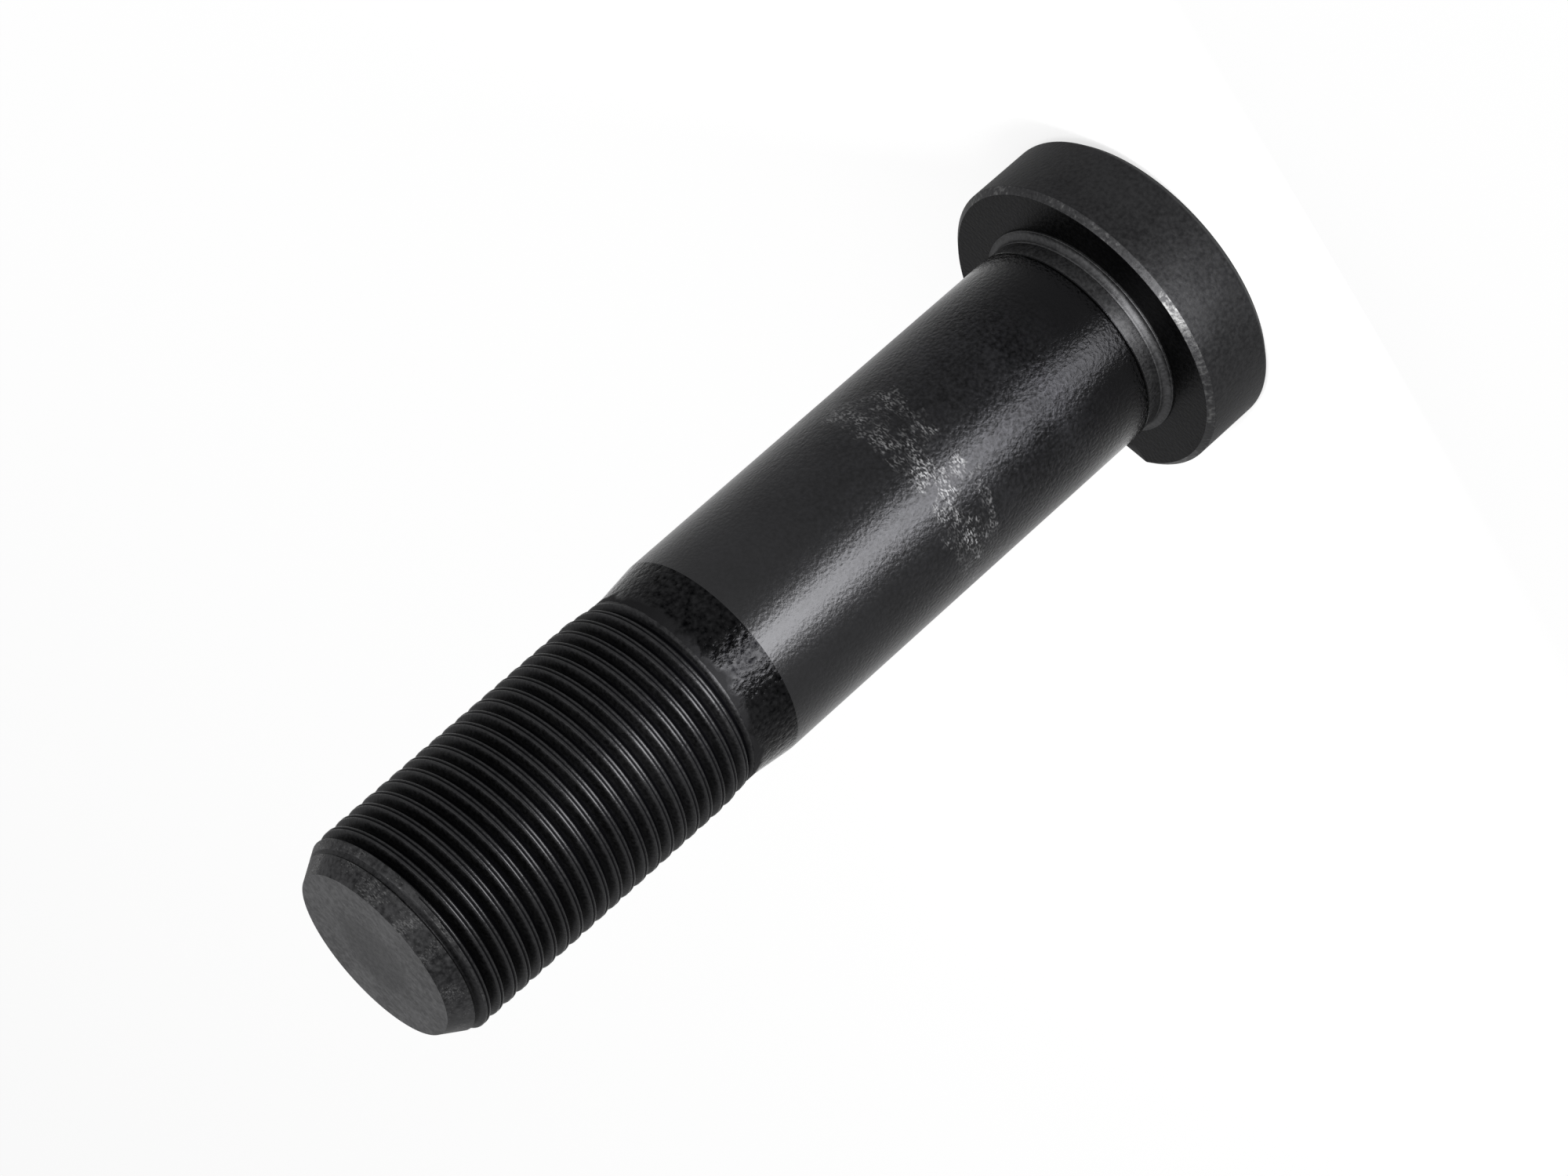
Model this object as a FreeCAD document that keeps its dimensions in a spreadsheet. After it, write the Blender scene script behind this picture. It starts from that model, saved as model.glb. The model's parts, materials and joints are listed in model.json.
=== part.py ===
import FreeCAD, Part
import os
import Sketcher

# A wheel bolt in one piece of steel: a low round head with one locking flat, a plain shank that sits
# in the hub, a short cone and a threaded end with a lead-in chamfer. The axis is Z, the origin is the
# centre of the head's outer face, and the thread's length stands at the diameter over its crests.

# Driving sizes in millimetres, with what each one measures
SIZES = [
    ("head_diameter", 29.6, "round of the head"),
    ("head_height", 8.0, "outer face to bearing face"),
    ("outer_rim_chamfer", 0.8, "broken edge of the outer face, 45 degrees"),
    ("bearing_rim_chamfer", 0.55, "broken edge of the bearing face, 45 degrees"),
    ("flat_clearance", 0.13, "collar's edge to the locking flat"),
    ("collar_height", 0.2, "raised ring round the foot of the shank"),
    ("collar_land", 0.12, "flat top of that ring, outside the fillet"),
    ("under_head_fillet", 0.6, "radius between the collar and the relief"),
    ("relief_depth", 0.1, "turned relief below the shank's surface"),
    ("relief_length", 2.2, "collar's top to the end of the relief"),
    ("shank_diameter", 20.0, "plain shank that sits in the hub"),
    ("grip_length", 46.3, "bearing face to the end of the plain shank"),
    ("taper_length", 3.8, "cone from the shank down to the neck"),
    ("neck_depth", 0.35, "neck before the thread, below its crests"),
    ("neck_length", 0.9, "straight neck between cone and thread"),
    ("run_out_length", 3.0, "first turns, not yet at full height"),
    ("thread_diameter", 19.8, "over the crests"),
    ("thread_length", 28.25, "full crests, run-out to tip chamfer"),
    ("tip_chamfer_depth", 1.65, "crest to the edge of the tip's face"),
    ("tip_chamfer_length", 2.75, "lead-in cone along the axis"),
    ("dish_diameter", 8.0, "shallow dish in the tip's face"),
    ("dish_depth", 0.15, "dish at the axis"),
    ("cut_margin", 1.0, "how far the flat's cut reaches past the head"),
]

# Sketcher's own numbers for the two axes, the root point and a line's start and end
H_AXIS, V_AXIS = range(-1, -3, -1)
ROOT = H_AXIS
START, END = range(1, 3)

doc = FreeCAD.newDocument("WheelBolt")

sheet = doc.addObject("Spreadsheet::Sheet", "Sizes")
for row, (alias, size, meaning) in enumerate(SIZES, start=1):
    sheet.set(f"A{row}", meaning)
    sheet.set(f"B{row}", str(size))
    sheet.setAlias(f"B{row}", alias)
doc.recompute()

body = doc.addObject("PartDesign::Body", "WheelBolt")
body.Label = "wheel_bolt"


def sketch_on(role, name):
    """A sketch of the body on one of its own origin planes."""
    sketch = body.newObject("Sketcher::SketchObject", name)
    plane = next(item for item in body.Origin.OriginFeatures if item.Role == role)
    sketch.AttachmentSupport = [(plane, "")]
    sketch.MapMode = "FlatFace"
    return sketch


def closed_outline(sketch, corners):
    """Straight lines through the corners, each corner fixed by its two distances from the root.

    A corner is a pair of expressions, across and up, or None for a distance of nothing.
    The lines start as rough steps and take their sizes from the expressions.
    """
    rough = [FreeCAD.Vector(step, step * step, 0) for step in range(len(corners))]
    for here, there in zip(rough, rough[1:] + rough[:1]):
        sketch.addGeometry(Part.LineSegment(here, there), False)
    for line in range(len(corners)):
        following = (line + 1) % len(corners)
        sketch.addConstraint(Sketcher.Constraint("Coincident", line, END, following, START))
    for line, (across, up) in enumerate(corners):
        if across is None and up is None:
            sketch.addConstraint(Sketcher.Constraint("Coincident", line, START, ROOT, START))
            continue
        for kind, axis, distance, start in (
            ("DistanceX", V_AXIS, across, rough[line].x),
            ("DistanceY", H_AXIS, up, rough[line].y),
        ):
            if distance is None:
                sketch.addConstraint(Sketcher.Constraint("PointOnObject", line, START, axis))
            else:
                number = sketch.addConstraint(Sketcher.Constraint(kind, ROOT, START, line, START, start))
                sketch.setExpression(f"Constraints[{number}]", distance)


# Radii of the turned section
rim = "Sizes.head_diameter / 2"
shank = "Sizes.shank_diameter / 2"
relief = f"{shank} - Sizes.relief_depth"
collar = f"{relief} + Sizes.under_head_fillet + Sizes.collar_land"
crest = "Sizes.thread_diameter / 2"
neck = f"{crest} - Sizes.neck_depth"
tip = f"{crest} - Sizes.tip_chamfer_depth"

# Heights of the turned section, from the outer face up to the tip
bearing = "Sizes.head_height"
collar_top = f"{bearing} + Sizes.collar_height"
relief_end = f"{collar_top} + Sizes.relief_length"
shank_end = f"{bearing} + Sizes.grip_length"
taper_end = f"{shank_end} + Sizes.taper_length"
neck_end = f"{taper_end} + Sizes.neck_length"
crest_start = f"{neck_end} + Sizes.run_out_length"
crest_end = f"{crest_start} + Sizes.thread_length"
tip_face = f"{crest_end} + Sizes.tip_chamfer_length"

# Half section of everything that is turned, from the centre of the outer face round to the tip
section = sketch_on("XZ_Plane", "TurnedSection")
closed_outline(section, [
    (None, None),
    (f"{rim} - Sizes.outer_rim_chamfer", None),
    (rim, "Sizes.outer_rim_chamfer"),
    (rim, f"{bearing} - Sizes.bearing_rim_chamfer"),
    (f"{rim} - Sizes.bearing_rim_chamfer", bearing),
    (collar, bearing),
    (collar, collar_top),
    (relief, collar_top),
    (relief, relief_end),
    (shank, f"{relief_end} + Sizes.relief_depth"),
    (shank, shank_end),
    (neck, taper_end),
    (neck, neck_end),
    (crest, crest_start),
    (crest, crest_end),
    (tip, tip_face),
    ("Sizes.dish_diameter / 2", tip_face),
    (None, f"{tip_face} - Sizes.dish_depth"),
])

turned = body.newObject("PartDesign::Revolution", "TurnedBody")
turned.Profile = section
turned.ReferenceAxis = (section, ["V_Axis"])
turned.Angle = 360
doc.recompute()

# Fillet where the collar's top meets the relief, at the foot of the shank
foot_radius = sheet.shank_diameter / 2 - sheet.relief_depth
foot_height = sheet.head_height + sheet.collar_height
SAME_PLACE = 1e-6
foot_edges = [
    f"Edge{number}"
    for number, edge in enumerate(turned.Shape.Edges, start=1)
    if isinstance(edge.Curve, Part.Circle)
    and abs(edge.Curve.Radius - foot_radius) < SAME_PLACE
    and abs(edge.Curve.Center.z - foot_height) < SAME_PLACE
]
fillet = body.newObject("PartDesign::Fillet", "UnderHeadFillet")
fillet.Base = (turned, foot_edges)
fillet.setExpression("Radius", "Sizes.under_head_fillet")
doc.recompute()

# Locking flat, trimmed off one side of the head from the outer face up to the bearing face
flat = f"{collar} + Sizes.flat_clearance"
reach = f"{rim} + Sizes.cut_margin"
trim = sketch_on("XY_Plane", "FlatTrim")
closed_outline(trim, [
    (f"-({reach})", flat),
    (reach, flat),
    (reach, reach),
    (f"-({reach})", reach),
])

head_flat = body.newObject("PartDesign::Pocket", "LockingFlat")
head_flat.Profile = trim
head_flat.Reversed = True
head_flat.setExpression("Length", bearing)
doc.recompute()

# The document has to be sound before anything is written
for item in doc.Objects:
    if "Invalid" in item.State or "Error" in item.State:
        raise RuntimeError(f"{item.Name} failed: {item.State}")
if not turned.Shape.Volume < fillet.Shape.Volume:
    raise RuntimeError("the fillet added nothing at the foot of the shank")
if not head_flat.Shape.Volume < fillet.Shape.Volume:
    raise RuntimeError("the locking flat cut nothing off the head")
if body.Shape.isNull() or not body.Shape.isValid() or len(body.Shape.Solids) != 1:
    raise RuntimeError("the bolt is not one sound solid")

os.makedirs("parts", exist_ok=True)
body.Shape.exportStep(os.path.join("parts", f"{body.Label}.step"))
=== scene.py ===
import json
import math

import bmesh
import bpy
from mathutils import Matrix, Vector


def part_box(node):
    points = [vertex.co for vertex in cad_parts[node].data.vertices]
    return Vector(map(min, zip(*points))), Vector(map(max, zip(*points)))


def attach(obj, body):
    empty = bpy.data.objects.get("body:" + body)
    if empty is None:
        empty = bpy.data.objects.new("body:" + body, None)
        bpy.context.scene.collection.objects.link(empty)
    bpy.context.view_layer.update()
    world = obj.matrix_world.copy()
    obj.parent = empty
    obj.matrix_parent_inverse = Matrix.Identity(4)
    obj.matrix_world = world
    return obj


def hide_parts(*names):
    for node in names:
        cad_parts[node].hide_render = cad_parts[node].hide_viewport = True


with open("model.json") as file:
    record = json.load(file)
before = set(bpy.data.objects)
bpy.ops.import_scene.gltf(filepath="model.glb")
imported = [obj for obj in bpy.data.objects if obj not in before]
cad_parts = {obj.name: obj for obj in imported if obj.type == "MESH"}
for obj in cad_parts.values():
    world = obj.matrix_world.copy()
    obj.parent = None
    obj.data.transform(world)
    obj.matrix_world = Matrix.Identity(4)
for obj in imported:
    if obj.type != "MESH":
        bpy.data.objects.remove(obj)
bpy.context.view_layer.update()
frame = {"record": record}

# Head
# The bolt is one piece of forged steel, blackened with phosphate and oiled. Its low round head was
# turned with a broken edge on both rims and trimmed straight on one side, so that it locks in the hub.
MM = 0.001
mounts = {mount["name"]: mount for mount in frame["record"]["mounts"]}
low_corner, high_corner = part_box("wheel_bolt")
head_radius = (high_corner[0] - low_corner[0]) / 2
bearing_height = mounts["bearing_face"]["pos_m"][2]
flat_distance = mounts["locking_flat"]["pos_m"][1]
shank_radius = mounts["hub_seat"]["dims"]["r_mm"] * MM
outer_rim_chamfer = 0.8 * MM
bearing_rim_chamfer = 0.55 * MM
collar_radius = 10.62 * MM
COLUMNS = 144
RING_SPACING = 1.6 * MM
EDGE_RING = 0.12 * MM
ARC_STEPS = 5
MERGE_DISTANCE = 0.0015 * MM


def rounded_section(corners):
    """Points of a turned section, from corners of radius, height and the rounding of the edge there."""
    points = []
    last = len(corners) - 1
    for index, (radius, height, rounding) in enumerate(corners):
        corner = Vector((radius, height))
        if rounding == 0 or index in (0, last):
            points.append(corner)
            continue
        before = (Vector(corners[index - 1][:2]) - corner).normalized()
        after = (Vector(corners[index + 1][:2]) - corner).normalized()
        half_angle = before.angle(after) / 2
        reach = rounding / math.tan(half_angle)
        centre = corner + (before + after).normalized() * rounding / math.sin(half_angle)
        start, end = corner + before * reach - centre, corner + after * reach - centre
        for step in range(ARC_STEPS + 1):
            points.append(centre + start.slerp(end, step / ARC_STEPS).normalized() * rounding)
    return points


def with_holding_rings(points):
    """The same section with extra points near the ends of each straight run and along it."""
    full = [points[0]]
    for here, there in zip(points, points[1:]):
        run = (there - here).length
        along = (there - here) / run
        if run > 4 * EDGE_RING:
            count = max(1, round(run / RING_SPACING))
            inner = run - 2 * EDGE_RING
            full += [here + along * (EDGE_RING + inner * step / count) for step in range(count + 1)]
        full.append(there)
    return full


def turn(points):
    """A surface turned about the Z axis, open at ends off the axis and closed at ends on it."""
    shape = bmesh.new()
    angles = [2 * math.pi * column / COLUMNS for column in range(COLUMNS)]
    rings = [
        [shape.verts.new((p.x * math.cos(angle), p.x * math.sin(angle), p.y)) for angle in angles]
        for p in with_holding_rings(points)
    ]
    for lower, upper in zip(rings, rings[1:]):
        for column in range(COLUMNS):
            following = (column + 1) % COLUMNS
            shape.faces.new((lower[column], lower[following], upper[following], upper[column]))
    bmesh.ops.remove_doubles(shape, verts=shape.verts, dist=MERGE_DISTANCE)
    return shape


head_shape = turn(rounded_section([
    (0, 0, 0),
    (head_radius - outer_rim_chamfer, 0, 0.25 * MM),
    (head_radius, outer_rim_chamfer, 0.5 * MM),
    (head_radius, bearing_height - bearing_rim_chamfer, 0.10 * MM),
    (head_radius - bearing_rim_chamfer, bearing_height, 0.10 * MM),
    (collar_radius, bearing_height, 0),
]))
every_part = head_shape.verts[:] + head_shape.edges[:] + head_shape.faces[:]
cut = bmesh.ops.bisect_plane(
    head_shape, geom=every_part, plane_co=(0, flat_distance, 0), plane_no=(0, 1, 0), clear_outer=True,
)
flat_edges = [item for item in cut["geom_cut"] if isinstance(item, bmesh.types.BMEdge)]
bmesh.ops.contextual_create(head_shape, geom=flat_edges)
FLAT_EDGE_ROUNDING = 0.12 * MM
bmesh.ops.bevel(
    head_shape, geom=flat_edges, offset=FLAT_EDGE_ROUNDING, segments=2, profile=0.5, affect="EDGES",
)


def linear(hex_colour):
    """An sRGB hex colour as the linear colour that a shader socket takes."""
    channels = [int(hex_colour[place:place + 2], 16) / 255 for place in (1, 3, 5)]
    return (*[c / 12.92 if c <= 0.04045 else ((c + 0.055) / 1.055) ** 2.4 for c in channels], 1)


def add(tree, kind, inputs=None, **settings):
    """One node with its settings, values and links: a socket or a node given as an input is linked."""
    node = tree.nodes.new(kind)
    for name, value in settings.items():
        setattr(node, name, value)
    for name, value in (inputs or {}).items():
        if isinstance(value, bpy.types.Node):
            value = value.outputs[0]
        if isinstance(value, bpy.types.NodeSocket):
            tree.links.new(value, node.inputs[name])
        else:
            node.inputs[name].default_value = value
    return node


def blackened_steel(name, dark, light, roughness, grain, relief, edge):
    """Phosphated and oiled steel: near-black metal, mottled by the crystals of the phosphate.

    The crystals are some ten times too fine to show, so the mottle is drawn that much coarser.
    dark and light are the two greys of the mottle, roughness its lowest and highest value, grain
    the width of the mottle and relief the depth of its bump in metres, and edge how much of the
    usual shine it keeps at a grazing angle.
    """
    material = bpy.data.materials.new(name)
    material.use_nodes = True
    tree = material.node_tree
    shader = tree.nodes["Principled BSDF"]
    shader.inputs["Metallic"].default_value = 1.0
    shader.inputs["Specular Tint"].default_value = (edge, edge, edge, 1)
    place = add(tree, "ShaderNodeTexCoord").outputs["Object"]
    fine = add(tree, "ShaderNodeTexNoise", {"Vector": place, "Scale": 1 / grain, "Detail": 4.0})
    cloud = add(tree, "ShaderNodeTexNoise", {"Vector": place, "Scale": 1 / (5 * MM), "Detail": 3.0})
    mottle = add(tree, "ShaderNodeMath", {0: cloud, 1: 0.5, 2: fine}, operation="MULTIPLY_ADD")
    share = add(tree, "ShaderNodeMapRange", {"Value": mottle, "From Min": 0.55, "From Max": 0.95})
    greys = {"Factor": share, "A": linear(dark), "B": linear(light)}
    colour = add(tree, "ShaderNodeMix", greys, data_type="RGBA")
    tree.links.new(colour.outputs["Result"], shader.inputs["Base Color"])
    gloss = add(tree, "ShaderNodeMapRange", {
        "Value": share, "To Min": roughness[0], "To Max": roughness[1],
    })
    tree.links.new(gloss.outputs["Result"], shader.inputs["Roughness"])
    bump = add(tree, "ShaderNodeBump", {"Height": fine, "Distance": relief, "Strength": 1.0})
    tree.links.new(bump.outputs["Normal"], shader.inputs["Normal"])
    return material


def lay_over(material, share, colour, roughness):
    """Bare steel, painted shade or another tone over the finish that is there, in the places where share
    is 1.
    """
    tree = material.node_tree
    shader = tree.nodes["Principled BSDF"]
    for name, value, kind in (("Base Color", linear(colour), "RGBA"), ("Roughness", roughness, "FLOAT")):
        under = shader.inputs[name].links[0].from_socket
        mixed = add(tree, "ShaderNodeMix", {"Factor": share, "A": under, "B": value}, data_type=kind)
        tree.links.new(mixed.outputs["Result"], shader.inputs[name])


# Dull and even, so that the round of the head shows only as a slow change of grey
head_finish = blackened_steel(
    "matt phosphated steel", dark="#1e1e1f", light="#2e2e2f", roughness=(0.52, 0.62),
    grain=0.38 * MM, relief=0.05 * MM, edge=0.75,
)
# The darkest face: painted darker than the head as shade, since it mirrors little but the shank
bearing_finish = blackened_steel(
    "oily phosphated bearing face", dark="#111112", light="#1e1e1f", roughness=(0.32, 0.42),
    grain=0.38 * MM, relief=0.03 * MM, edge=0.7,
)
# The rim is the first to be knocked, so it is greyer than the head and flecked with bare steel
rim_finish = blackened_steel(
    "rubbed phosphated rim", dark="#2a2a2b", light="#3c3c3d", roughness=(0.42, 0.55),
    grain=0.3 * MM, relief=0.03 * MM, edge=0.75,
)
tree = rim_finish.node_tree
place = add(tree, "ShaderNodeTexCoord").outputs["Object"]
fleck = add(tree, "ShaderNodeTexNoise", {"Vector": place, "Scale": 1 / (0.4 * MM), "Detail": 3.0})
patch = add(tree, "ShaderNodeTexNoise", {"Vector": place, "Scale": 1 / (7 * MM), "Detail": 1.0})
both = add(tree, "ShaderNodeMath", {0: fleck, 1: patch}, operation="ADD")
bare = add(tree, "ShaderNodeMapRange", {"Value": both, "From Min": 1.1, "From Max": 1.35})
lay_over(rim_finish, bare.outputs["Result"], colour="#5a5a5a", roughness=0.38)

# Shank
# The plain shank sits in the hub's hole. It was turned and ground smooth, with a small collar and a
# relief at its foot, and narrows through a short cone to the neck that the thread was rolled from.
shank_end = mounts["hub_seat"]["pos_m"][2] + mounts["hub_seat"]["dims"]["length_mm"] * MM / 2
shank_start = mounts["hub_seat"]["pos_m"][2] - mounts["hub_seat"]["dims"]["length_mm"] * MM / 2
collar_height = 0.2 * MM
under_head_fillet = 0.6 * MM
relief_depth = 0.1 * MM
relief_radius = shank_radius - relief_depth
collar_top = bearing_height + collar_height
taper_length = 3.8 * MM
neck_length = 0.9 * MM
crest_radius = mounts["thread"]["dims"]["r_mm"] * MM
neck_depth = 0.35 * MM
neck_radius = crest_radius - neck_depth
neck_start = shank_end + taper_length
neck_end = neck_start + neck_length
tool_line = 0.07 * MM
fillet_top = collar_top + under_head_fillet

foot_of_shank = [
    (collar_radius, bearing_height, 0),
    (collar_radius, collar_top, 0.05 * MM),
    (relief_radius + under_head_fillet, collar_top, 0),
]
fillet_centre = Vector((relief_radius + under_head_fillet, fillet_top))
FILLET_STEPS = 10
for step in range(1, FILLET_STEPS):
    angle = math.pi / 2 * step / FILLET_STEPS
    foot_of_shank.append((
        fillet_centre.x - under_head_fillet * math.sin(angle),
        fillet_centre.y - under_head_fillet * math.cos(angle), 0,
    ))
shank_shape = turn(rounded_section(foot_of_shank + [
    (relief_radius, fillet_top, 0),
    (relief_radius - tool_line, fillet_top + tool_line, 0.02 * MM),
    (relief_radius, fillet_top + 2 * tool_line, 0.02 * MM),
    (relief_radius, shank_start - 2 * relief_depth, 0.02 * MM),
    (relief_radius - relief_depth / 2, shank_start - relief_depth, 0.03 * MM),
    (shank_radius, shank_start + relief_depth, 0.15 * MM),
    (shank_radius, shank_end, 1.0 * MM),
    (neck_radius, neck_start, 2.0 * MM),
    (neck_radius, neck_end, 0),
]))
# Half gloss with a fine grain, which breaks the long highlight up into specks at its edges
shank_finish = blackened_steel(
    "oiled black ground shank", dark="#101011", light="#272729", roughness=(0.3, 0.38),
    grain=0.34 * MM, relief=0.11 * MM, edge=0.85,
)
# Lighter and glossier towards the thread
tree = shank_finish.node_tree
place = add(tree, "ShaderNodeTexCoord").outputs["Object"]
height = add(tree, "ShaderNodeSeparateXYZ", {"Vector": place}).outputs["Z"]
lighter_towards_thread = add(tree, "ShaderNodeMapRange", {
    "Value": height, "From Min": shank_start + 9 * MM, "From Max": shank_end, "To Min": 0.0, "To Max": 0.8,
})
lay_over(shank_finish, lighter_towards_thread.outputs["Result"], colour="#333334", roughness=0.26)
# Its foot, next to the head, is smoother and evenly dark
foot = add(tree, "ShaderNodeMapRange", {
    "Value": height, "From Min": shank_start + 3 * MM, "From Max": shank_start + 9 * MM,
    "To Min": 1.0, "To Max": 0.0,
})
lay_over(shank_finish, foot.outputs["Result"], colour="#19191a", roughness=0.2)
# Its grain is coarsest above the foot, and almost gone at the thread
worn_smooth = add(tree, "ShaderNodeMapRange", {
    "Value": height, "From Min": shank_start, "From Max": shank_end, "To Min": 0.9, "To Max": 0.35,
})
evened = add(tree, "ShaderNodeMath", {0: foot, 1: -0.4, 2: worn_smooth}, operation="MULTIPLY_ADD")
tree.links.new(evened.outputs[0], tree.nodes["Bump"].inputs["Strength"])
# Two ragged rings of dull bare specks, where the edge of the hub's hole has rubbed
patch = add(tree, "ShaderNodeTexNoise", {"Vector": place, "Scale": 1 / (2.6 * MM), "Detail": 2.0})
rubbed = add(tree, "ShaderNodeMapRange", {"Value": patch, "From Min": 0.4, "From Max": 0.64})
SPECK = (1 / (0.34 * MM), 1 / (0.34 * MM), 1 / (0.16 * MM))
stretched = add(tree, "ShaderNodeVectorMath", {0: place, 1: SPECK}, operation="MULTIPLY")
speck = add(tree, "ShaderNodeTexNoise", {"Vector": stretched, "Scale": 1.0, "Detail": 1.0})
bright = add(tree, "ShaderNodeMapRange", {"Value": speck, "From Min": 0.47, "From Max": 0.66})
patched = add(tree, "ShaderNodeMath", {0: rubbed, 1: bright}, operation="MULTIPLY")
ragged = add(tree, "ShaderNodeTexNoise", {"Vector": place, "Scale": 1 / (1.1 * MM), "Detail": 3.0})
wander = add(tree, "ShaderNodeMapRange", {
    "Value": ragged, "From Min": 0.3, "From Max": 0.7, "To Min": -0.9 * MM, "To Max": 0.9 * MM,
})
shifted = add(tree, "ShaderNodeMath", {0: height, 1: wander}, operation="ADD")
for middle_height, half_width, most in ((30.2 * MM, 1.1 * MM, 0.7), (33.0 * MM, 1.7 * MM, 1.0)):
    away = add(tree, "ShaderNodeMath", {0: shifted, 1: middle_height}, operation="SUBTRACT")
    off = add(tree, "ShaderNodeMath", {0: away}, operation="ABSOLUTE")
    ring = add(tree, "ShaderNodeMapRange", {
        "Value": off, "From Min": half_width / 4, "From Max": half_width, "To Min": most, "To Max": 0.0,
    })
    bare = add(tree, "ShaderNodeMath", {0: ring, 1: patched}, operation="MULTIPLY")
    lay_over(shank_finish, bare.outputs[0], colour="#828283", roughness=0.75)
# Turned, not ground: greyer than the shank, with its fine lines as light and dark rings
collar_finish = blackened_steel(
    "oiled black turned collar", dark="#303031", light="#444445", roughness=(0.42, 0.52),
    grain=0.3 * MM, relief=0.012 * MM, edge=0.7,
)
# As forged and wet with oil, with small sharp glints on its bumps; painted black for a dark reflection
neck_finish = blackened_steel(
    "oily as-forged neck", dark="#050506", light="#222223", roughness=(0.06, 0.14),
    grain=0.45 * MM, relief=0.11 * MM, edge=0.7,
)
# The oil and the painted dark end raggedly before the land in front of the thread, which is dry and grey
tree = neck_finish.node_tree
place = add(tree, "ShaderNodeTexCoord").outputs["Object"]
height = add(tree, "ShaderNodeSeparateXYZ", {"Vector": place}).outputs["Z"]
ragged = add(tree, "ShaderNodeTexNoise", {"Vector": place, "Scale": 1 / (2.4 * MM), "Detail": 3.0})
wander = add(tree, "ShaderNodeMapRange", {
    "Value": ragged, "From Min": 0.3, "From Max": 0.7, "To Min": -0.6 * MM, "To Max": 0.6 * MM,
})
shifted = add(tree, "ShaderNodeMath", {0: height, 1: wander}, operation="ADD")
dry_land_past_painted_dark = add(tree, "ShaderNodeMapRange", {
    "Value": shifted, "From Min": neck_start - 0.2 * MM, "From Max": neck_start + 0.4 * MM,
})
lay_over(neck_finish, dry_land_past_painted_dark.outputs["Result"], colour="#1e1e1f", roughness=0.72)
levelled = add(tree, "ShaderNodeMapRange", {"Value": dry_land_past_painted_dark, "To Min": 1.0, "To Max": 0.5})
tree.links.new(levelled.outputs["Result"], tree.nodes["Bump"].inputs["Strength"])

# Thread
# A fine right-hand thread, rolled into the neck between dies. Rolling pushes the crests up in two
# ridges with a seam between them, leaves the first turns low, and dies out in the tip's chamfer.
pitch = 1.5 * MM
thread_depth = 0.80 * MM
run_out_length = 3.0 * MM
groove_start = 0.4 * MM
# The last turn, measured back from the tip, where the grooves get no painted shade and the ridges no
# polish
plain_end = 1.9 * MM
plain_fade = 0.6 * MM
tip_height = high_corner[2]
chamfer_depth = 1.65 * MM
chamfer_length = 2.75 * MM
tip_radius = crest_radius - chamfer_depth
chamfer_slope = (crest_radius - tip_radius) / chamfer_length
ROWS_PER_TURN = 20
# Height of a crest on the side that the photograph shows, and the direction of that side
view_azimuth = math.radians(-19.0)
shown_side = math.atan2(-math.cos(view_azimuth), math.sin(view_azimuth))
shown_crest = 60.33 * MM
first_turn = shown_crest - pitch * (shown_side / (2 * math.pi) + 0.5)
first_turn -= pitch * math.ceil((first_turn - neck_end) / pitch + 1)
turns = math.ceil((tip_height - first_turn) / pitch) + 1

tree = bpy.data.node_groups.new("rolled_thread", "GeometryNodeTree")
tree.interface.new_socket("Geometry", in_out="OUTPUT", socket_type="NodeSocketGeometry")
thread_sizes = {
    "Pitch": pitch,
    "Root Radius": crest_radius - thread_depth,
    "Crest Radius": crest_radius,
    "Neck Radius": neck_radius,
    "Start Height": neck_end,
    "Groove Start": groove_start,
    "Plain End": plain_end,
    "Plain Fade": plain_fade,
    "Run-out Length": run_out_length,
    "End Height": tip_height,
    "Tip Radius": tip_radius,
    "Chamfer Slope": chamfer_slope,
    "First Turn": first_turn,
    "Turns": turns,
}
sockets = {
    name: tree.interface.new_socket(name, in_out="INPUT", socket_type="NodeSocketFloat")
    for name in thread_sizes
}
given = add(tree, "NodeGroupInput").outputs
grid = add(tree, "GeometryNodeMeshGrid", {
    "Size X": 1.0, "Size Y": 1.0, "Vertices X": COLUMNS + 1, "Vertices Y": turns * ROWS_PER_TURN + 1,
})
cell = add(tree, "ShaderNodeSeparateXYZ", {0: add(tree, "GeometryNodeInputPosition")}).outputs

# Each row of the grid climbs one pitch in a turn, and is held between the neck and the tip
around = add(tree, "ShaderNodeMath", {0: cell["X"], 1: 0.5}, operation="ADD")
row = add(tree, "ShaderNodeMath", {0: cell["Y"], 1: 0.5}, operation="ADD")
turn_number = add(tree, "ShaderNodeMath", {0: row, 1: given["Turns"], 2: around}, operation="MULTIPLY_ADD")
one_less = add(tree, "ShaderNodeMath", {0: turn_number, 1: 1.0}, operation="SUBTRACT")
climb = add(tree, "ShaderNodeMath", {
    0: one_less, 1: given["Pitch"], 2: given["First Turn"],
}, operation="MULTIPLY_ADD")
capped = add(tree, "ShaderNodeMath", {0: climb, 1: given["End Height"]}, operation="MINIMUM")
height = add(tree, "ShaderNodeMath", {0: capped, 1: given["Start Height"]}, operation="MAXIMUM")

# Where the point lies between two roots, and how high the rolled profile stands there
above = add(tree, "ShaderNodeMath", {0: height, 1: given["First Turn"]}, operation="SUBTRACT")
turns_up = add(tree, "ShaderNodeMath", {0: above, 1: given["Pitch"]}, operation="DIVIDE")
turns_off = add(tree, "ShaderNodeMath", {0: turns_up, 1: around}, operation="SUBTRACT")
phase = add(tree, "ShaderNodeMath", {0: turns_off}, operation="FRACT")
profile = add(tree, "ShaderNodeFloatCurve", {"Value": phase})
PROFILE = [
    (0.00, 0.00), (0.05, 0.03), (0.10, 0.12), (0.30, 0.86), (0.35, 0.98), (0.40, 1.00), (0.45, 0.93),
    (0.50, 0.90), (0.55, 0.93), (0.60, 1.00), (0.65, 0.98), (0.70, 0.86), (0.90, 0.12), (0.95, 0.03),
    (1.00, 0.00),
]

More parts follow.
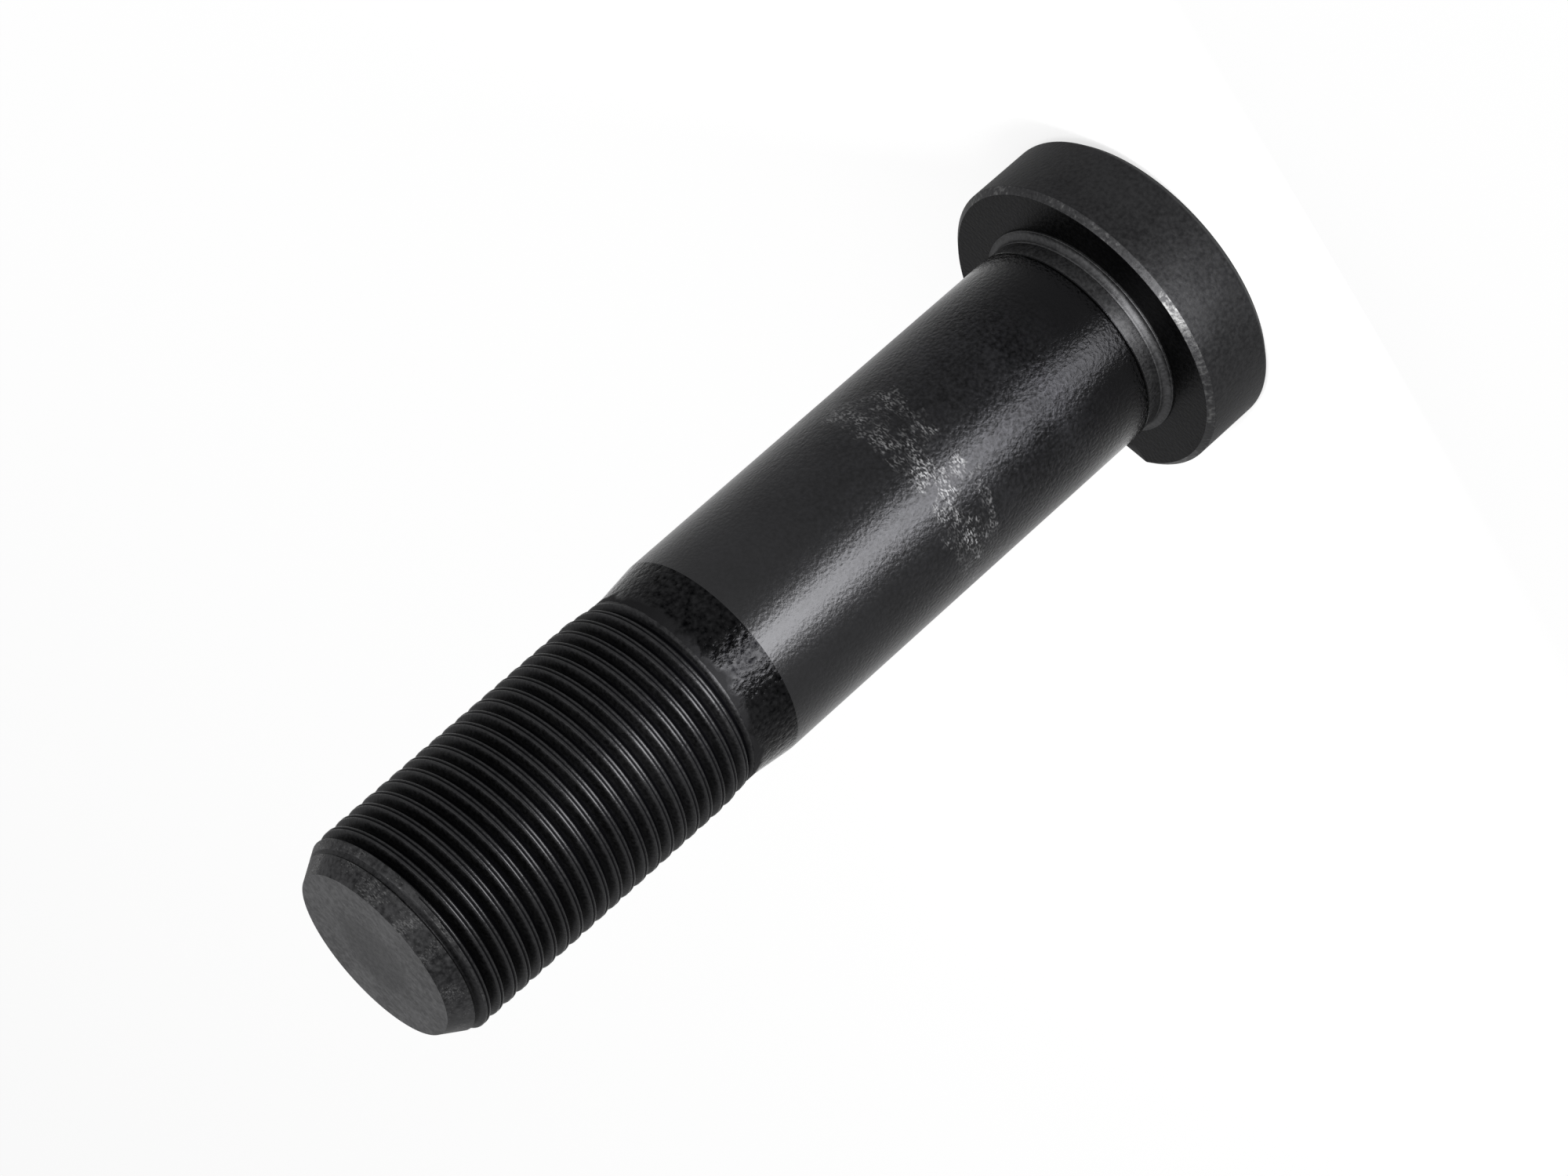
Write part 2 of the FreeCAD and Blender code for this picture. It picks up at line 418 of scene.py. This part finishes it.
# The crests grow out of the neck over the run-out, the grooves are deep from the start, and the
# tip's chamfer cuts both back
along = add(tree, "ShaderNodeMath", {0: height, 1: given["Start Height"]}, operation="SUBTRACT")
grown = add(tree, "ShaderNodeMath", {
    0: along, 1: given["Run-out Length"],
}, operation="DIVIDE", use_clamp=True)
left = add(tree, "ShaderNodeMath", {0: given["End Height"], 1: height}, operation="SUBTRACT")
grooved = add(tree, "ShaderNodeMath", {
    0: along, 1: given["Groove Start"],
}, operation="DIVIDE", use_clamp=True)
outside = add(tree, "ShaderNodeMapRange", {
    "Value": grown, "To Min": given["Neck Radius"], "To Max": given["Crest Radius"],
})
depth = add(tree, "ShaderNodeMath", {0: outside, 1: given["Root Radius"]}, operation="SUBTRACT")
below = add(tree, "ShaderNodeMath", {0: 1.0, 1: profile}, operation="SUBTRACT")
sunk = add(tree, "ShaderNodeMath", {0: below, 1: depth}, operation="MULTIPLY")
cut_in = add(tree, "ShaderNodeMath", {0: sunk, 1: grooved}, operation="MULTIPLY")
threaded = add(tree, "ShaderNodeMath", {0: outside, 1: cut_in}, operation="SUBTRACT")
chamfer = add(tree, "ShaderNodeMath", {
    0: left, 1: given["Chamfer Slope"], 2: given["Tip Radius"],
}, operation="MULTIPLY_ADD")
radius = add(tree, "ShaderNodeMath", {0: threaded, 1: chamfer}, operation="MINIMUM")

turn_angle = add(tree, "ShaderNodeMath", {0: around, 1: 2 * math.pi}, operation="MULTIPLY")
cosine = add(tree, "ShaderNodeMath", {0: turn_angle}, operation="COSINE")
sine = add(tree, "ShaderNodeMath", {0: turn_angle}, operation="SINE")
wound = add(tree, "ShaderNodeCombineXYZ", {
    "X": add(tree, "ShaderNodeMath", {0: radius, 1: cosine}, operation="MULTIPLY"),
    "Y": add(tree, "ShaderNodeMath", {0: radius, 1: sine}, operation="MULTIPLY"),
    "Z": height,
})
# How the thread's surface is drawn: 0 is black painted shade, 1 is rubbed bright on a ridge
# The painted shade is full in the roots and in the seam between the ridges, and fades up the flanks
polish_and_groove_shade = add(tree, "ShaderNodeFloatCurve", {"Value": phase})
POLISH_AND_GROOVE_SHADE = [
    (0.00, 0.00), (0.10, 0.05), (0.30, 0.30), (0.35, 0.85), (0.40, 0.85), (0.45, 0.20), (0.50, 0.10),
    (0.55, 0.20), (0.60, 1.00), (0.65, 1.00), (0.70, 0.45), (0.80, 0.42), (0.90, 0.25), (1.00, 0.00),
]
for curve_node, spots in ((profile, PROFILE), (polish_and_groove_shade, POLISH_AND_GROOVE_SHADE)):
    curve = curve_node.mapping.curves[0]
    curve.points[0].location = spots[0]
    curve.points[1].location = spots[-1]
    for spot in spots[1:-1]:
        curve.points.new(*spot).handle_type = "VECTOR"
    curve_node.mapping.update()
PLAIN = 0.5
# Where the grooves begin and over the last turn the surface is plain, without painted shade or polish
short_of_end = add(tree, "ShaderNodeMath", {0: left, 1: given["Plain End"]}, operation="SUBTRACT")
oiled = add(tree, "ShaderNodeMath", {
    0: short_of_end, 1: given["Plain Fade"],
}, operation="DIVIDE", use_clamp=True)
used = add(tree, "ShaderNodeMath", {0: grooved, 1: oiled}, operation="MULTIPLY")
kept = add(tree, "ShaderNodeMapRange", {"Value": used, "To Min": PLAIN, "To Max": polish_and_groove_shade})
marked = add(tree, "GeometryNodeStoreNamedAttribute", {
    "Geometry": grid, "Name": "polish_and_groove_shade", "Value": kept,
}, data_type="FLOAT", domain="POINT")
shaped = add(tree, "GeometryNodeSetPosition", {"Geometry": marked, "Position": wound})
merged = add(tree, "GeometryNodeMergeByDistance", {"Geometry": shaped, "Distance": MERGE_DISTANCE})
realized = add(tree, "GeometryNodeRealizeInstances", {"Geometry": merged})

# Painted black shade in the grooves, with the two ridges of each crest rubbed to thin bright lines
thread_finish = blackened_steel(
    "oiled rolled thread with painted groove shade", dark="#202021", light="#343435", roughness=(0.36, 0.5),
    grain=0.3 * MM, relief=0.03 * MM, edge=0.7,
)
finish_tree = thread_finish.node_tree
polish_and_groove_shade_value = add(finish_tree, "ShaderNodeAttribute", attribute_name="polish_and_groove_shade").outputs["Fac"]
# Painted shade: black and rough where the stored value is low, in the roots, the seam and the flanks
painted_shade = add(finish_tree, "ShaderNodeMapRange", {
    "Value": polish_and_groove_shade_value, "From Min": 0.1, "From Max": PLAIN, "To Min": 1.0, "To Max": 0.0,
})
lay_over(thread_finish, painted_shade.outputs["Result"], colour="#08080a", roughness=0.75)
place = add(finish_tree, "ShaderNodeTexCoord").outputs["Object"]
patch = add(finish_tree, "ShaderNodeTexNoise", {"Vector": place, "Scale": 1 / (0.9 * MM), "Detail": 2.0})
rubbed = add(finish_tree, "ShaderNodeMapRange", {
    "Value": patch, "From Min": 0.3, "From Max": 0.65, "To Min": 0.35, "To Max": 1.0,
})
ridge = add(finish_tree, "ShaderNodeMapRange", {"Value": polish_and_groove_shade_value, "From Min": 0.6, "From Max": 1.0})
bare = add(finish_tree, "ShaderNodeMath", {0: ridge, 1: rubbed}, operation="MULTIPLY")
lay_over(thread_finish, bare.outputs[0], colour="#2e2e2f", roughness=0.24)
coated = add(tree, "GeometryNodeSetMaterial", {"Geometry": realized, "Material": thread_finish})
add(tree, "NodeGroupOutput", {0: coated})

thread_maker = bpy.data.objects.new("thread_maker", bpy.data.meshes.new("thread_maker"))
bpy.context.collection.objects.link(thread_maker)
roll = thread_maker.modifiers.new("rolled_thread", "NODES")
roll.node_group = tree
for name, socket in sockets.items():
    roll[socket.identifier] = float(thread_sizes[name])
evaluated = thread_maker.evaluated_get(bpy.context.evaluated_depsgraph_get())
thread_mesh = bpy.data.meshes.new_from_object(evaluated)
thread_maker.modifiers.remove(roll)
bpy.data.objects.remove(thread_maker)

# Tip
# The end of the bar, sheared and then pressed flat. Its face is matt and slightly dished, and the
# lead-in chamfer round it was turned and has been scratched by the nuts that start on it.
dish_radius = 4.0 * MM
dish_depth = 0.15 * MM
tip_shape = turn(rounded_section([
    (tip_radius, tip_height, 0),
    (dish_radius, tip_height, 1.5 * MM),
    (0, tip_height - dish_depth, 0),
]))
# The palest face, dull and even like slate
tip_finish = blackened_steel(
    "matt sheared tip", dark="#434344", light="#5f5f60", roughness=(0.6, 0.72),
    grain=0.4 * MM, relief=0.03 * MM, edge=0.75,
)
tree = tip_finish.node_tree
place = add(tree, "ShaderNodeTexCoord").outputs["Object"]
flat_place = add(tree, "ShaderNodeVectorMath", {0: place, 1: (1, 1, 0)}, operation="MULTIPLY")
from_axis = add(tree, "ShaderNodeVectorMath", {0: flat_place}, operation="LENGTH").outputs["Value"]
in_dish = add(tree, "ShaderNodeMapRange", {
    "Value": from_axis, "From Min": 0.8 * dish_radius, "From Max": 1.1 * dish_radius,
    "To Min": 0.5, "To Max": 0.0,
})
lay_over(tip_finish, in_dish.outputs["Result"], colour="#404041", roughness=0.66)
# Between the black of the thread and the grey of the tip, with fine pale scratches
chamfer_finish = blackened_steel(
    "scratched lead-in chamfer", dark="#222223", light="#414142", roughness=(0.42, 0.56),
    grain=0.4 * MM, relief=0.03 * MM, edge=0.75,
)
tree = chamfer_finish.node_tree
place = add(tree, "ShaderNodeTexCoord").outputs["Object"]
SCRATCH = (1 / (0.3 * MM), 1 / (0.14 * MM), 1 / (0.1 * MM))
stretched = add(tree, "ShaderNodeVectorMath", {0: place, 1: SCRATCH}, operation="MULTIPLY")
scratch = add(tree, "ShaderNodeTexNoise", {"Vector": stretched, "Scale": 1.0, "Detail": 2.0})
patch = add(tree, "ShaderNodeTexNoise", {"Vector": place, "Scale": 1 / (3 * MM), "Detail": 1.0})
both = add(tree, "ShaderNodeMath", {0: scratch, 1: patch}, operation="ADD")
bare = add(tree, "ShaderNodeMapRange", {"Value": both, "From Min": 1.14, "From Max": 1.55})
lay_over(chamfer_finish, bare.outputs["Result"], colour="#707070", roughness=0.42)

# Whole bolt
# The lengths above are one piece of steel, so their skins are closed into one, without a seam, and
# each zone of that skin keeps its own finish.
FINISHES = [
    head_finish, bearing_finish, rim_finish, collar_finish, shank_finish, neck_finish, thread_finish,
    chamfer_finish, tip_finish,
]
HEAD, BEARING, RIM, COLLAR, SHANK, NECK, THREAD, CHAMFER, TIP = range(len(FINISHES))
bolt_mesh = bpy.data.meshes.new("bolt")
for finish in FINISHES:
    bolt_mesh.materials.append(finish)
whole = bmesh.new()
whole.verts.layers.float.new("polish_and_groove_shade")
for shape, zone in ((head_shape, HEAD), (shank_shape, SHANK), (thread_mesh, THREAD), (tip_shape, TIP)):
    zone_mesh = shape
    if isinstance(shape, bmesh.types.BMesh):
        zone_mesh = bpy.data.meshes.new("zone")
        shape.to_mesh(zone_mesh)
        shape.free()
    first_new = len(whole.faces)
    whole.from_mesh(zone_mesh)
    whole.faces.ensure_lookup_table()
    for face in whole.faces[first_new:]:
        face.material_index = zone
bmesh.ops.remove_doubles(whole, verts=whole.verts, dist=MERGE_DISTANCE)
bmesh.ops.recalc_face_normals(whole, faces=whole.faces)
FACING = 0.9
SLANTED = 0.3
for face in whole.faces:
    face.smooth = True
    middle = face.calc_center_median()
    if face.material_index == HEAD and middle.z > bearing_height - bearing_rim_chamfer:
        if face.normal.z > FACING:
            face.material_index = BEARING
        elif face.normal.z > SLANTED:
            face.material_index = RIM
    elif face.material_index == SHANK:
        if middle.z < shank_start - 2 * relief_depth:
            face.material_index = COLLAR
        elif middle.z > shank_end:
            face.material_index = NECK
    elif face.material_index == THREAD:
        cone_radius = tip_radius + chamfer_slope * (tip_height - middle.z)
        if cone_radius - math.hypot(middle.x, middle.y) < EDGE_RING / 4:
            face.material_index = CHAMFER
if not all(edge.is_manifold for edge in whole.edges):
    raise RuntimeError("the bolt's skin is not closed")
whole.to_mesh(bolt_mesh)
whole.free()
SHARP_ANGLE = math.radians(55)
bolt_mesh.set_sharp_from_angle(angle=SHARP_ANGLE)

bolt = bpy.data.objects.new("bolt", bolt_mesh)
bpy.context.collection.objects.link(bolt)
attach(bolt, "root")
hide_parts("wheel_bolt")

# Floor
# A plain white sheet that the bolt stands on, head down. The camera and reflections see it white,
# and the light that falls on it leaves the bolt's soft shadow.
FLOOR_RADIUS = 1.5
FLOOR_DROP = 0.02 * MM
FLOOR_GLOW = 0.72
floor_shape = bmesh.new()
bmesh.ops.create_circle(floor_shape, cap_ends=True, segments=96, radius=FLOOR_RADIUS)
floor_mesh = bpy.data.meshes.new("floor")
floor_shape.to_mesh(floor_mesh)
floor_shape.free()
floor_mesh.transform(Matrix.Translation((0, 0, -FLOOR_DROP)))
floor = bpy.data.objects.new("floor", floor_mesh)
bpy.context.collection.objects.link(floor)
paper = bpy.data.materials.new("white paper sheet")
paper.use_nodes = True
tree = paper.node_tree
tree.nodes.clear()
ray = add(tree, "ShaderNodeLightPath").outputs
mirrored = add(tree, "ShaderNodeMath", {
    0: ray["Is Glossy Ray"], 1: ray["Is Transmission Ray"],
}, operation="MAXIMUM")
seen = add(tree, "ShaderNodeMath", {0: ray["Is Camera Ray"], 1: mirrored}, operation="MAXIMUM")
glow = add(tree, "ShaderNodeMath", {0: seen, 1: FLOOR_GLOW}, operation="MULTIPLY")
lit = add(tree, "ShaderNodeBsdfDiffuse", {"Color": linear("#b4b4b4")})
shine = add(tree, "ShaderNodeEmission", {"Color": linear("#ffffff"), "Strength": glow})
both = add(tree, "ShaderNodeAddShader", {0: lit, 1: shine})
add(tree, "ShaderNodeOutputMaterial", {"Surface": both})
floor_mesh.materials.append(paper)

# Light
# White studio light from all round, a wide softbox overhead for the shadow, and a strip softbox that
# stands on the floor close to the bolt, left of the camera, for the long highlight on the shank.
shown_right = Vector((math.cos(view_azimuth), math.sin(view_azimuth), 0))
toward_camera = Vector((math.sin(view_azimuth), -math.cos(view_azimuth), 0))
up = Vector((0, 0, 1))


def softbox(name, right, toward, height, size, power, aim_height):
    """A rectangular area light that faces the bolt's axis at one height, in metres and watts."""
    light = bpy.data.lights.new(name, "AREA")
    light.shape = "RECTANGLE"
    light.size, light.size_y = size
    light.energy = power
    lamp = bpy.data.objects.new(name, light)
    lamp.location = shown_right * right + toward_camera * toward + up * height
    lamp.rotation_euler = (up * aim_height - lamp.location).to_track_quat("-Z", "Y").to_euler()
    lamp.visible_camera = False
    bpy.context.collection.objects.link(lamp)


softbox(
    "strip softbox", right=-0.0096, toward=0.026, height=0.0431,
    size=(0.012, 0.082), power=0.04, aim_height=0.0431,
)
softbox(
    "overhead softbox", right=0.1, toward=0.1, height=0.9,
    size=(0.6, 0.6), power=2.5, aim_height=tip_height / 2,
)

WORLD_LIGHT = 0.35
world = bpy.data.worlds.new("studio")
bpy.context.scene.world = world
world.use_nodes = True
tree = world.node_tree
ray = add(tree, "ShaderNodeLightPath").outputs
mirrored = add(tree, "ShaderNodeMath", {
    0: ray["Is Glossy Ray"], 1: ray["Is Transmission Ray"],
}, operation="MAXIMUM")
seen = add(tree, "ShaderNodeMath", {0: ray["Is Camera Ray"], 1: mirrored}, operation="MAXIMUM")
strength = add(tree, "ShaderNodeMath", {0: seen, 1: WORLD_LIGHT}, operation="MAXIMUM")
tree.links.new(strength.outputs[0], tree.nodes["Background"].inputs["Strength"])
tree.nodes["Background"].inputs["Color"].default_value = linear("#ffffff")

# Camera
# The photograph's own view, found from the thread, the rims and the outline: the bolt leans towards
# the camera with its tip down to the left of the picture.
PICTURE_WIDTH = 2000
SENSOR_WIDTH = 36.0
focal_pixels = 6776.7
view_elevation = math.radians(23.927)
picture_direction = math.radians(138.516)
axis_point_height = 49.14 * MM
axis_point_in_view = Vector((-2.608, 2.718, 441.26)) * MM
# The bolt's axis, the view's right and the way to the camera, each as picture right, down and depth
axis_seen = Vector((
    math.cos(view_elevation) * math.cos(picture_direction),
    math.cos(view_elevation) * math.sin(picture_direction),
    -math.sin(view_elevation),
))
right_seen = Vector((-math.sin(picture_direction), math.cos(picture_direction), 0))
near_seen = right_seen.cross(axis_seen)
axes = ((axis_seen, up), (right_seen, shown_right), (near_seen, toward_camera))
picture_right, picture_down, depth = (
    sum((seen[part] * there for seen, there in axes), Vector()) for part in range(3)
)
seen_from = zip((picture_right, picture_down, depth), axis_point_in_view)
camera_place = up * axis_point_height - sum((there * part for there, part in seen_from), Vector())
camera_data = bpy.data.cameras.new("camera")
camera_data.sensor_width = SENSOR_WIDTH
camera_data.lens = focal_pixels / PICTURE_WIDTH * SENSOR_WIDTH
camera = bpy.data.objects.new("camera", camera_data)
turned = Matrix((picture_right, -picture_down, -depth)).transposed().to_4x4()
camera.matrix_world = Matrix.Translation(camera_place) @ turned
bpy.context.collection.objects.link(camera)
bpy.context.scene.camera = camera
bpy.context.scene.view_settings.view_transform = "Standard"
